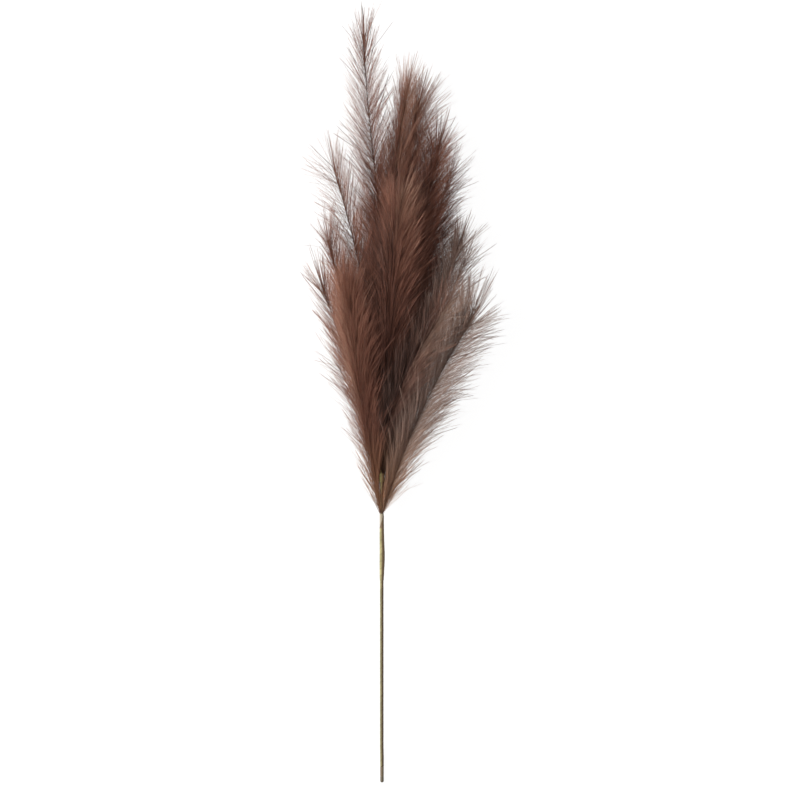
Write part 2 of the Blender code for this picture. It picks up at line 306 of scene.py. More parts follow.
# Moulded PVC: semi-matt tan, darker towards the tip that stands in the vase. The
# moulding grain is about 0.3 mm, and is drawn coarser, from 1.1 mm down.
foot_plastic = bpy.data.materials.new("tan moulded PVC")
foot_plastic.use_nodes = True
tree = foot_plastic.node_tree
shader = tree.nodes["Principled BSDF"]
place = add_node(tree, "ShaderNodeTexCoord")
along = add_node(tree, "ShaderNodeSeparateXYZ", {0: place.outputs["Object"]})
grain = add_node(tree, "ShaderNodeTexNoise", {"Vector": place.outputs["Object"],
                                              "Scale": 900.0, "Detail": 3.0})
tan = add_node(tree, "ShaderNodeValToRGB", {"Fac": grain.outputs["Fac"]},
               stops=((0.3, "5e503c"), (0.75, "70624b")))
to_tip = add_node(tree, "ShaderNodeMapRange", {"Value": along.outputs["Y"],
                                               "From Min": FOOT_Y + PLUG_LENGTH - 0.001,
                                               "From Max": FOOT_Y + PLUG_LENGTH + 0.001,
                                               "To Min": 0.75, "To Max": 0.0})
tip_darkened_colour = add_node(tree, "ShaderNodeMix", {0: to_tip.outputs[0], 6: tan.outputs[0],
                                           7: linear("585141")}, data_type="RGBA")
grained = add_node(tree, "ShaderNodeBump", {"Height": grain.outputs["Fac"], "Strength": 0.25,
                                            "Distance": 0.0001})
tree.links.new(tip_darkened_colour.outputs[2], shader.inputs["Base Color"])
tree.links.new(grained.outputs[0], shader.inputs["Normal"])
scuff_gloss = add_node(tree, "ShaderNodeMapRange", {"Value": grain.outputs["Fac"],
                                                    "To Min": 0.38, "To Max": 0.6})
tree.links.new(scuff_gloss.outputs[0], shader.inputs["Roughness"])
shader.inputs["IOR"].default_value = 1.53

dome_turn = np.linspace(0.08, np.pi / 2, 9)
y_cap = np.concatenate([FOOT_RADIUS * (1 - np.cos(dome_turn)),
                        np.linspace(SLEEVE_START, FOOT_LENGTH, CAP_RINGS)])
cap_radius = np.concatenate([FOOT_RADIUS * np.sin(dome_turn), np.full(CAP_RINGS, FOOT_RADIUS)])
cap_radius = cap_radius - GROOVE * np.exp(-(((y_cap - PLUG_LENGTH) / GROOVE_HALF) ** 2))
cap_radius = cap_radius - RIM * smoothstep((y_cap - FOOT_LENGTH + RIM_LENGTH) / RIM_LENGTH)
cap_rings = turned_rings(y_cap, cap_radius[:, None], shift=FOOT_SHIFT)
foot_cap = ring_surface("foot_cap_moulded", cap_rings, foot_plastic)
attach(foot_cap, "root")
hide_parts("foot_cap")

# ----------------------------------------------------------
# Neck. More of the olive tape over the wire ends of the lowest sprigs, which make it bulge to
# the right, cut off on a slant. Past the cut, a cream collar of PVC shows.
WRAP_START = 0.300
WRAP_EDGE = 0.387
WRAP_SLANT = 0.009
WRAP_RADIUS = 0.0032
BULGE_CENTRE = 0.337
BULGE_WIDTH = 0.022
BULGE = 0.0007
SLANT_START = 0.340
EASE = 0.00025
EASE_LENGTH = 0.010
COLLAR_RADIUS = 0.0031
COLLAR_RINGS = 12
COLLAR_RIM = 0.0003

y_wrap = np.arange(WRAP_START, WRAP_EDGE, RING_STEP)
bulge = BULGE * np.exp(-(((y_wrap - BULGE_CENTRE) / BULGE_WIDTH) ** 2))[:, None]
slant = WRAP_SLANT * smoothstep((y_wrap - SLANT_START) / (WRAP_EDGE - SLANT_START))
start_ease = EASE * (1 - smoothstep((y_wrap - WRAP_START) / EASE_LENGTH))[:, None]
wrap_radius = WRAP_RADIUS - start_ease + bulge + lapped(y_wrap) - LAP_STEP / 2
wrap_radius = wrap_radius * (1 + uneven(y_wrap, 5, 0.03))
wrap_outer = turned_rings(y_wrap, wrap_radius, shift=bulge, slant=slant)
wrap_bore = turned_rings(y_wrap[[-1, 0]], STEM_RADIUS + GAP / 2, slant=slant[[-1, 0]])
wrap = ring_surface("neck_wrap_tape", np.concatenate([wrap_outer, wrap_bore]), tape, loop=True)
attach(wrap, "root")
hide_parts("neck_wrap")

# Cream PVC, semi-matt, faintly stained along its length by the tape's wax.
collar_plastic = bpy.data.materials.new("cream moulded PVC")
collar_plastic.use_nodes = True
tree = collar_plastic.node_tree
shader = tree.nodes["Principled BSDF"]
place = add_node(tree, "ShaderNodeTexCoord")
drawn_out = add_node(tree, "ShaderNodeMapping", {"Vector": place.outputs["Object"],
                                                 "Scale": (1.0, 0.2, 1.0)})
streaks = add_node(tree, "ShaderNodeTexNoise", {"Vector": drawn_out.outputs[0],
                                                "Scale": 1400.0, "Detail": 2.0})
cream = add_node(tree, "ShaderNodeValToRGB", {"Fac": streaks.outputs["Fac"]},
                 stops=((0.3, "867b64"), (0.7, "9c9382")))
tree.links.new(cream.outputs[0], shader.inputs["Base Color"])
streak_bump = add_node(tree, "ShaderNodeBump", {"Height": streaks.outputs["Fac"],
                                                "Strength": 0.2, "Distance": 0.0001})
tree.links.new(streak_bump.outputs[0], shader.inputs["Normal"])
shader.inputs["Roughness"].default_value = 0.5
shader.inputs["IOR"].default_value = 1.53

y_collar = np.linspace(WRAP_EDGE + GAP / 2, COLLAR_TOP, COLLAR_RINGS)
collar_slant = WRAP_SLANT * (1 - smoothstep((y_collar - WRAP_EDGE) / (COLLAR_TOP - WRAP_EDGE)))
collar_radius = np.full((COLLAR_RINGS, 1), COLLAR_RADIUS)
collar_radius[-1] -= COLLAR_RIM
collar_outer = turned_rings(y_collar, collar_radius, slant=collar_slant)
collar_bore = turned_rings(y_collar[[-1, 0]], STEM_RADIUS + GAP / 2, slant=collar_slant[[-1, 0]])
collar = ring_surface("neck_collar_moulded", np.concatenate([collar_outer, collar_bore]),
                      collar_plastic, loop=True)
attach(collar, "root")
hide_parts("neck_collar")

# ----------------------------------------------------------
# Bindings. Turns of the same tape, one over another, round the wire ends of each upper tier of
# sprigs, a little thicker in the middle.
TIERS = (0.399, 0.458, 0.536, 0.583)
BINDING_LENGTH = 0.013
BINDING_RADIUS = 0.0037
BINDING_SWELL = 0.0004
BINDING_RINGS = 26

for number in (1, 2, 3):
    y_turns = np.linspace(TIERS[number] - GAP - BINDING_LENGTH, TIERS[number] - GAP,
                          BINDING_RINGS)
    middle = np.sin(np.pi * (y_turns - y_turns[0]) / BINDING_LENGTH)[:, None]
    binding_radius = BINDING_RADIUS - BINDING_SWELL * (1 - middle) + lapped(y_turns) - LAP_STEP
    binding_outer = turned_rings(y_turns, binding_radius)
    binding_bore = turned_rings(y_turns[[-1, 0]], STEM_RADIUS_IN_PLUME + GAP / 2)
    binding = ring_surface(f"binding_tape_tier_{number + 1}",
                           np.concatenate([binding_outer, binding_bore]), tape, loop=True)
    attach(binding, "root")
    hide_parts(f"binding_tier_{number + 1}")

# ----------------------------------------------------------
# Sprig wires. Each sprig is a thin steel wire in a brown skin that leaves its tier, bends out
# and carries the sprig's fibres, which are knotted to it and hide it where they are dense.
LOW, MIDDLE, TOP = 0, 1, 2
ROOT_OFFSET = 0.0027
LEVEL_STEP = 0.0033
WIRE_ROOT_RADIUS = 0.0008
WIRE_TIP_RADIUS = 0.0006
WIRE_RINGS = 70
WIRE_SIDES = 10
WIRE_ROOM = 0.0015
WIRE_HEADROOM = 0.0016
STRAIGHT_ROOT = 0.004
PLUME_LOFT = 0.006
PLUME_RISE = 0.058
RISE_LENGTH = 0.30
PLUME_FALL = 0.026
FALL_START = 0.86
FALL_LENGTH = 0.34
SPREAD_LENGTH = 0.12
LOW_SPREAD = 0.006
MIDDLE_SPREAD = 0.027

# Tier, level, side of the stem, height of the tip, and the wire's curve as (x, y) points from
# the root to the tip of the sprig's fibres. The wire itself ends `tuft` before that.
SPRIG_WIRES = {
    "sprig_tall_left": (3, TOP, -1, 0.052,
                        ((0.004, 0.730), (-0.012, 0.920), (-0.027, 1.150)), 0.052),
    "sprig_left_upper": (2, MIDDLE, -1, 0.048,
                         ((-0.020, 0.700), (-0.053, 0.846), (-0.088, 0.968)), 0.060),
    "sprig_left_middle": (1, MIDDLE, -1, 0.044,
                          ((-0.032, 0.600), (-0.065, 0.745), (-0.090, 0.842)), 0.040),
    "sprig_left_lower": (0, LOW, -1, 0.018,
                         ((-0.026, 0.530), (-0.076, 0.700), (-0.105, 0.782)), 0.050),
    "sprig_left_bottom": (0, MIDDLE, -1, 0.026,
                          ((-0.016, 0.480), (-0.042, 0.570), (-0.100, 0.668)), 0.050),
    "sprig_top_centre": (3, MIDDLE, 0, 0.044,
                         ((0.006, 0.740), (0.021, 0.920), (0.047, 1.068)), 0.055),
    "sprig_top_back": (2, LOW, 1, 0.024,
                       ((0.012, 0.700), (0.032, 0.880), (0.062, 1.050)), 0.055),
    "sprig_right_upper": (2, MIDDLE, 1, 0.044,
                          ((0.024, 0.680), (0.063, 0.860), (0.098, 0.988)), 0.055),
    "sprig_right_upper_back": (1, LOW, 1, 0.022,
                               ((0.024, 0.610), (0.070, 0.795), (0.119, 0.958)), 0.055),
    "sprig_right_middle": (1, MIDDLE, 1, 0.042,
                           ((0.030, 0.560), (0.078, 0.697), (0.131, 0.840)), 0.055),
    "sprig_right_middle_back": (0, LOW, 1, 0.020,
                                ((0.036, 0.530), (0.090, 0.685), (0.143, 0.826)), 0.055),
    "sprig_right_bottom_front": (0, TOP, 1, 0.062,
                                 ((0.043, 0.514), (0.104, 0.637), (0.176, 0.748)), 0.070),
    "sprig_right_front_short": (1, TOP, 1, 0.068,
                                ((0.022, 0.570), (0.062, 0.650), (0.134, 0.768)), 0.060),
    "sprig_centre_front": (2, TOP, 1, 0.072,
                           ((0.009, 0.640), (0.018, 0.770), (0.028, 0.900)), 0.060),
    "sprig_left_front": (0, TOP, -1, 0.066,
                         ((-0.019, 0.500), (-0.042, 0.650), (-0.057, 0.782)), 0.060),
}


def plume_height(y):
    """Height of the plume's back: a smooth rise from the neck and a slow fall to the tip."""
    rise = smoothstep((y - TIERS[0]) / RISE_LENGTH)
    fall = smoothstep((y - FALL_START) / FALL_LENGTH)
    return axis_height(y) + PLUME_LOFT + PLUME_RISE * rise - PLUME_FALL * fall


def level_bounds(level, y):
    """Lowest and highest z of a level: under, beside or over the stem, and thirds beyond it."""
    beyond = smoothstep((y - STEM_TOP) / SPREAD_LENGTH)
    low_top = axis_height(y) - LEVEL_STEP + LOW_SPREAD * beyond
    middle_top = axis_height(y) + LEVEL_STEP + MIDDLE_SPREAD * beyond
    return ((0.0 * y, low_top), (low_top, middle_top), (middle_top, plume_height(y)))[level]


def wire_path(name, shares):
    """Points (n, 3) of a sprig's wire at shares of its length. Its x is the cubic in y through
    its root and its three points, and its height eases from the root's to the tip's."""
    tier, level, side, tip_z, curve, tuft = SPRIG_WIRES[name]
    turn = np.radians((-60, 0, 60)[level])
    root_y = TIERS[tier] if side else STEM_TOP + 2 * GAP
    root_x = side * ROOT_OFFSET * np.cos(turn)
    root_z = axis_height(root_y) + (ROOT_OFFSET * np.sin(turn) if side else 0.0)
    known = np.array([(root_x, root_y), *curve])
    cubic = np.polyfit(known[:, 1] - root_y, known[:, 0], 3)
    tip_y = curve[-1][1]
    y = root_y + (tip_y - tuft - root_y) * np.asarray(shares, float)
    z = tip_z + (root_z - tip_z) * (1 - (y - root_y) / (tip_y - root_y)) ** 2
    low, high = level_bounds(level, y)
    z = np.clip(z, low + WIRE_ROOM, np.maximum(high - WIRE_ROOM, low + WIRE_HEADROOM))
    z = np.where(y < root_y + STRAIGHT_ROOT, root_z, z)
    return np.stack([AXIS_X + np.polyval(cubic, y - root_y), FOOT_Y + y, z], axis=1)


def frames_along(path):
    """Unit vectors at each point of a path: along it, level to its right, and up from both."""
    along = np.gradient(path, axis=0)
    along /= np.linalg.norm(along, axis=1, keepdims=True)
    right = np.cross(along, (0.0, 0.0, 1.0))
    right /= np.linalg.norm(right, axis=1, keepdims=True)
    return along, right, np.cross(right, along)


# Wire skinned in brown paper-wound thread: dark, matt and ribbed. The thread's pitch is 0.5 mm,
# and is drawn coarser, at 1 mm.
wire_skin = bpy.data.materials.new("brown thread-wound wire")
wire_skin.use_nodes = True
tree = wire_skin.node_tree
shader = tree.nodes["Principled BSDF"]
place = add_node(tree, "ShaderNodeTexCoord")
ribs = add_node(tree, "ShaderNodeTexWave", {"Vector": place.outputs["Object"],
                                            "Scale": 310.0, "Distortion": 1.5},
                bands_direction="Y")
fuzz = add_node(tree, "ShaderNodeTexNoise", {"Vector": place.outputs["Object"],
                                             "Scale": 220.0, "Detail": 2.0})
thread = add_node(tree, "ShaderNodeValToRGB", {"Fac": fuzz.outputs["Fac"]},
                  stops=((0.3, "3a2620"), (0.75, "5b4034")))
tree.links.new(thread.outputs[0], shader.inputs["Base Color"])
rib_bump = add_node(tree, "ShaderNodeBump", {"Height": ribs.outputs["Fac"], "Strength": 0.5,
                                             "Distance": 0.0001})
tree.links.new(rib_bump.outputs[0], shader.inputs["Normal"])
shader.inputs["Roughness"].default_value = 0.7
shader.inputs["IOR"].default_value = 1.5

wire_shares = np.linspace(0, 1, WIRE_RINGS)
wire_turn = np.pi * (2 * np.arange(WIRE_SIDES) / WIRE_SIDES - 0.5)[None, :, None]
for name in SPRIG_WIRES:
    path = wire_path(name, wire_shares)
    along, right, up = frames_along(path)
    taper = (WIRE_ROOT_RADIUS + (WIRE_TIP_RADIUS - WIRE_ROOT_RADIUS) * wire_shares)[:, None, None]
    wire_rings = path[:, None] + taper * (np.cos(wire_turn) * right[:, None]
                                          + np.sin(wire_turn) * up[:, None])
    wire = ring_surface(name + "_wire", wire_rings, wire_skin)
    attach(wire, "root")
    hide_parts(name)

# ----------------------------------------------------------
# Sprig fibres. Crimped polyester fibres about 0.1 mm thick and 50 to 100 mm long, knotted to both
# sides of each wire. They lie in pointed locks and clinging strands, with loose ones between.
# Loose ones are drawn 0.28 mm thick, those in locks 0.34 mm and a strand 0.62 mm, so that fewer
# of them cover as much.
SEED = 100
WIRE_SAMPLES = 200
FIBRE_SIDES = 3
TONES = 64
PALEST = 0.88
TIPWARD = 2
TAPER = 0.35
FLOOR_CLEARANCE = 0.0008
LIFT = 0.004
OVER_PLUME = 0.006
END_LEAN = 0.75
END_SPREAD = 0.07
ROOT_SCATTER = 0.0008
STRAY_LEAN = 1.8
BEND_SHARES = (-0.25, 0.40)
LEAST_BEND = 0.5
SWAY = 0.0007
TIP_SWAY = 0.0005
PER_LOCK = 3
LOCK_STEPS = 3
STRAND_STEPS = 3
LOOSE_STEPS = 2
LOCK_RADIUS = 0.00017
STRAND_RADIUS = 0.00031
LOOSE_RADIUS = 0.00014
TONE_SCATTER = 0.08
LOCK_TONE_SCATTER = 0.06
SIDE_ROOM = 0.015
PARTING_HALF = 0.0034
PARTING_FLARE = 0.05
PARTING_MARGIN = 0.0015
PARTING_SAMPLES = 20
WAXED_UP_TO = 0.400
UNWAXED_FROM = 0.530
LENGTH_RANKS = (0.0, 0.6, 0.92, 1.0)
GIRTHS = (0.75, 1.2)
STRAND_GIRTHS = (0.6, 1.5)

# How a lock's fibres differ from its guide, in shares of the wire and of its length and in
# degrees, how tightly they are drawn to it, and how thick they are.
LOCK_PLACES = 0.004
LOCK_LENGTHS = (0.7, 1.02)
LOCK_LEANS = 4
LOCK_ROLLS = 12
LOCK_BENDS = (-3.0, 3.0)
TIGHTNESS = (0.70, 0.98)
LOCK_GIRTHS = (0.65, 1.5)

# A sprig's fibres spread flat beside its wire or bush out all round it. Strands carry painted
# shade: they are darker than the fibres round them, for the shade among their clinging fibres, and
# more so where those are sparse and the floor shows between.
FLATTER = 0.6
ROUNDER = 1.5
ROUND_SPRIGS = ("sprig_top_centre", "sprig_top_back", "sprig_centre_front", "sprig_left_front")
FLAT_SPRIGS = ("sprig_tall_left", "sprig_left_upper", "sprig_left_lower", "sprig_left_bottom",
               "sprig_right_bottom_front")
SPARSE_SPRIGS = ("sprig_tall_left", "sprig_left_upper", "sprig_right_bottom_front")
STRAND_PAINTED_SHADE = 0.20
SPARSE_STRAND_PAINTED_SHADE = 0.34

# What sets each sprig's fibres apart, on its left and then on its right, at the root, a third, two
# thirds and the tip of its wire: how far they lean from the wire in degrees, how long they are in
# metres, how thickly they are set, and their tone from dark 0 to pale 1. The tones are partly the
# fibres' own and partly painted shade and light: dark where the plume lies in shade, pale where it
# is lit. Last come how many locks, how many strands and how many loose fibres the sprig has.
SPRIG_FIBRES = {
    "sprig_tall_left": (
        ((20, 28, 31, 20), (0.080, 0.074, 0.076, 0.062),
         (1.90, 2.00, 1.00, 0.33), (0.22, 0.38, 0.58, 0.60)),
        ((20, 28, 31, 22), (0.080, 0.080, 0.076, 0.066),
         (3.10, 2.10, 1.00, 0.17), (0.00, 0.10, 0.46, 0.60)),
        (134, 330, 3720)),
    "sprig_left_upper": (
        ((18, 28, 35, 40), (0.080, 0.079, 0.076, 0.070),
         (2.90, 1.50, 0.44, 0.11), (0.39, 0.55, 0.64, 0.66)),
        ((18, 26, 28, 15), (0.085, 0.095, 0.092, 0.072),
         (6.10, 2.50, 0.80, 0.10), (0.06, 0.26, 0.58, 0.66)),
        (167, 314, 5870)),
    "sprig_left_middle": (
        ((18, 24, 22, 18), (0.066, 0.068, 0.064, 0.044),
         (0.45, 0.60, 0.28, 0.05), (0.46, 0.46, 0.52, 0.60)),
        ((17, 22, 22, 20), (0.080, 0.085, 0.084, 0.066),
         (0.80, 1.30, 0.88, 0.26), (0.34, 0.34, 0.40, 0.50)),
        (110, 190, 2150)),
    "sprig_left_lower": (
        ((17, 20, 22, 18), (0.060, 0.060, 0.062, 0.062),
         (0.04, 0.08, 0.27, 0.20), (0.78, 0.74, 0.70, 0.70)),
        ((17, 22, 24, 18), (0.080, 0.085, 0.082, 0.072),
         (0.16, 0.58, 0.74, 0.21), (0.82, 0.70, 0.56, 0.56)),
        (110, 200, 1130)),
    "sprig_left_bottom": (
        ((17, 22, 28, 28), (0.058, 0.060, 0.060, 0.058),
         (0.06, 0.06, 0.08, 0.05), (0.80, 0.76, 0.72, 0.70)),
        ((15, 18, 20, 18), (0.070, 0.072, 0.070, 0.057),
         (0.08, 0.09, 0.06, 0.03), (0.78, 0.74, 0.70, 0.66)),
        (20, 88, 112)),
    "sprig_top_centre": (
        ((18, 26, 24, 15), (0.085, 0.090, 0.080, 0.072),
         (0.70, 1.20, 0.84, 0.34), (0.00, 0.02, 0.36, 0.74)),
        ((18, 24, 22, 15), (0.085, 0.092, 0.094, 0.076),
         (0.70, 1.20, 0.82, 0.19), (0.08, 0.26, 0.72, 0.84)),
        (230, 132, 4450)),
    "sprig_top_back": (
        ((18, 26, 28, 18), (0.085, 0.090, 0.090, 0.072),
         (0.60, 0.80, 0.48, 0.19), (0.28, 0.38, 0.68, 0.76)),
        ((20, 26, 34, 31), (0.085, 0.095, 0.103, 0.078),
         (0.60, 1.00, 1.50, 0.62), (0.28, 0.36, 0.60, 0.73)),
        (180, 180, 4900)),
    "sprig_right_upper": (
        ((17, 24, 30, 30), (0.085, 0.095, 0.100, 0.077),
         (0.60, 0.90, 1.30, 0.46), (0.00, 0.03, 0.16, 0.42)),
        ((18, 26, 30, 30), (0.085, 0.090, 0.088, 0.064),
         (0.70, 1.40, 1.35, 0.34), (0.18, 0.30, 0.48, 0.58)),
        (240, 200, 5000)),
    "sprig_right_upper_back": (
        ((18, 28, 33, 37), (0.090, 0.100, 0.100, 0.066),
         (0.50, 1.00, 1.55, 0.13), (0.04, 0.20, 0.36, 0.56)),
        ((18, 28, 33, 35), (0.085, 0.094, 0.074, 0.052),
         (0.80, 2.70, 1.55, 0.08), (0.26, 0.33, 0.40, 0.52)),
        (230, 275, 6100)),
    "sprig_right_middle": (
        ((17, 26, 26, 24), (0.085, 0.095, 0.088, 0.068),
         (0.30, 0.40, 0.60, 0.78), (0.36, 0.58, 0.76, 0.66)),
        ((17, 24, 26, 21), (0.072, 0.074, 0.072, 0.062),
         (0.24, 0.28, 0.24, 0.36), (0.54, 0.78, 0.86, 0.74)),
        (95, 165, 1700)),
    "sprig_right_middle_back": (
        ((17, 26, 28, 24), (0.085, 0.095, 0.088, 0.060),
         (0.50, 0.50, 0.40, 0.18), (0.30, 0.58, 0.80, 0.78)),
        ((17, 22, 26, 28), (0.070, 0.070, 0.072, 0.062),
         (0.30, 0.34, 0.24, 0.18), (0.62, 0.82, 0.88, 0.86)),
        (85, 135, 1550)),
    "sprig_right_bottom_front": (
        ((15, 22, 28, 30), (0.082, 0.092, 0.094, 0.090),
         (0.24, 0.42, 0.54, 0.64), (0.62, 0.66, 0.74, 0.84)),
        ((22, 31, 38, 36), (0.066, 0.080, 0.078, 0.070),
         (0.16, 0.46, 0.44, 0.24), (0.86, 0.84, 0.84, 0.84)),
        (150, 350, 2280)),
    "sprig_right_front_short": (
        ((15, 20, 24, 26), (0.085, 0.090, 0.088, 0.066),
         (0.50, 0.65, 0.36, 0.10), (0.02, 0.02, 0.18, 0.64)),
        ((15, 22, 28, 30), (0.080, 0.088, 0.086, 0.064),
         (0.25, 0.50, 0.34, 0.12), (0.12, 0.40, 0.74, 0.86)),
        (110, 80, 2350)),
    "sprig_centre_front": (
        ((17, 22, 24, 22), (0.085, 0.093, 0.094, 0.078),
         (0.50, 0.70, 0.80, 0.34), (0.10, 0.28, 0.14, 0.58)),
        ((15, 24, 30, 31), (0.085, 0.100, 0.098, 0.080),
         (0.30, 0.60, 0.90, 0.46), (0.16, 0.34, 0.54, 0.82)),
        (170, 60, 6000)),
    "sprig_left_front": (
        ((13, 16, 18, 22), (0.066, 0.072, 0.080, 0.068),
         (0.01, 0.02, 0.49, 0.46), (0.88, 0.88, 0.80, 0.66)),
        ((17, 24, 30, 28), (0.080, 0.088, 0.095, 0.080),
         (0.60, 1.00, 1.10, 0.50), (0.44, 0.40, 0.54, 0.58)),
        (178, 114, 4950)),
}


def dyed_fibre(name, stops, tip):
    """Crimped polyester fibre: dope-dyed, with a soft sheen along each strand, and painted light and
    shade in flecks about 3 mm apart where its crimps would catch the light. Towards its tip it is
    painted paler towards one colour, as painted light from the floor through the thin tips, and more
    so the paler it is, and it is tan where wax from the neck's tape has soaked in. u is its tone and
    v runs to its tip."""
    made = bpy.data.materials.new(name)
    made.use_nodes = True
    tree = made.node_tree
    shader = tree.nodes["Principled BSDF"]
    own_map = add_node(tree, "ShaderNodeUVMap", uv_map="OFBake")
    tone = add_node(tree, "ShaderNodeSeparateXYZ", {0: own_map.outputs["UV"]})
    # Painted light and shade: the tone rises and falls in flecks about 3 mm apart along the fibre.
    glint_spacing = add_node(tree, "ShaderNodeMapping", {"Vector": own_map.outputs["UV"],
                                                 "Scale": (TONES * 3.0, 24.0, 1.0)})
    painted_glints = add_node(tree, "ShaderNodeTexNoise", {"Vector": glint_spacing.outputs[0], "Scale": 1.0,
                                                   "Detail": 1.0})
    painted_glint = add_node(tree, "ShaderNodeMapRange", {"Value": painted_glints.outputs["Fac"],
                                                  "From Min": 0.3, "From Max": 0.7,
                                                  "To Min": -0.12, "To Max": 0.12})
    lit_tone = add_node(tree, "ShaderNodeMath", {0: tone.outputs["X"], 1: painted_glint.outputs[0]})
    dyed = add_node(tree, "ShaderNodeValToRGB", {"Fac": lit_tone.outputs[0]}, stops=stops)
    # Painted light: the tip is painted paler, the more so the paler the fibre.
    tip_light_share = add_node(tree, "ShaderNodeMath", {0: tone.outputs["X"], 1: 0.5}, operation="MULTIPLY")
    to_tip = add_node(tree, "ShaderNodeMapRange", {"Value": tone.outputs["Y"], "From Min": 0.5,
                                                   "To Max": tip_light_share.outputs[0]})
    tip_lit_colour = add_node(tree, "ShaderNodeMix", {0: to_tip.outputs[0], 6: dyed.outputs[0],
                                             7: linear(tip)}, data_type="RGBA")
    place = add_node(tree, "ShaderNodeTexCoord")
    height = add_node(tree, "ShaderNodeSeparateXYZ", {0: place.outputs["Object"]})
    to_neck = add_node(tree, "ShaderNodeMapRange", {"Value": height.outputs["Y"],
                                                    "From Min": FOOT_Y + WAXED_UP_TO,
                                                    "From Max": FOOT_Y + UNWAXED_FROM,
                                                    "To Min": 0.65, "To Max": 0.0})
    waxed = add_node(tree, "ShaderNodeMix", {0: to_neck.outputs[0], 6: tip_lit_colour.outputs[2],
                                             7: linear("a97c58")}, data_type="RGBA")
    tree.links.new(waxed.outputs[2], shader.inputs["Base Color"])
    sheen = add_node(tree, "ShaderNodeMapRange", {"Value": tone.outputs["X"],
                                                  "To Min": 0.62, "To Max": 0.48})
    tree.links.new(sheen.outputs[0], shader.inputs["Roughness"])
    shader.inputs["IOR"].default_value = 1.55
    return made


# Three lots of fibre: a red brown for most sprigs, a greyer brown with painted shade for those low
# on the right, and one between them, with half as much painted shade, for the sprig in front of
# those.
red_brown = dyed_fibre("red-brown crimped polyester fibre",
                       ((0.0, "3a2017"), (1.0, "b79681"), (0.3, "61382a"), (0.55, "8a5643"),
                        (0.8, "a47964")), "a97863")
shaded_grey_brown = dyed_fibre("shade-painted grey-brown crimped polyester fibre",
                        ((0.0, "38251f"), (1.0, "b5a399"), (0.3, "5e4439"), (0.55, "84665a"),
                         (0.8, "a0877b")), "a2887d")
half_shaded_brown = dyed_fibre("brown crimped polyester fibre",
                         ((0.0, "39231b"), (1.0, "b69d8c"), (0.3, "603f33"), (0.55, "875f51"),
                          (0.8, "a28271")), "a58171")
SHADED_LOTS = {"sprig_right_middle": shaded_grey_brown, "sprig_right_middle_back": shaded_grey_brown,
            "sprig_right_bottom_front": shaded_grey_brown, "sprig_right_front_short": half_shaded_brown}


def fibre_stations(steps):
    """Shares of a fibre's length at its rings, closer together towards its tip."""
    return 1 - (1 - np.arange(steps + 1) / steps) ** TIPWARD


def fibre_curves(base, along, outward, length, lean, bend, steps):
    """Points (n, steps + 1, 3) of fibres. Each is an arc that sets off at its lean from along
    towards outward. By its tip it has turned by bend, back towards along or, where bend is
    negative, further away. bend must not be 0."""
    turned = lean[:, None] - bend[:, None] * fibre_stations(steps)
    ahead = (np.sin(lean)[:, None] - np.sin(turned)) / bend[:, None]
    aside = (np.cos(turned) - np.cos(lean)[:, None]) / bend[:, None]
    reach = length[:, None, None]
    arc = ahead[..., None] * along[:, None] + aside[..., None] * outward[:, None]
    return base[:, None] + reach * arc


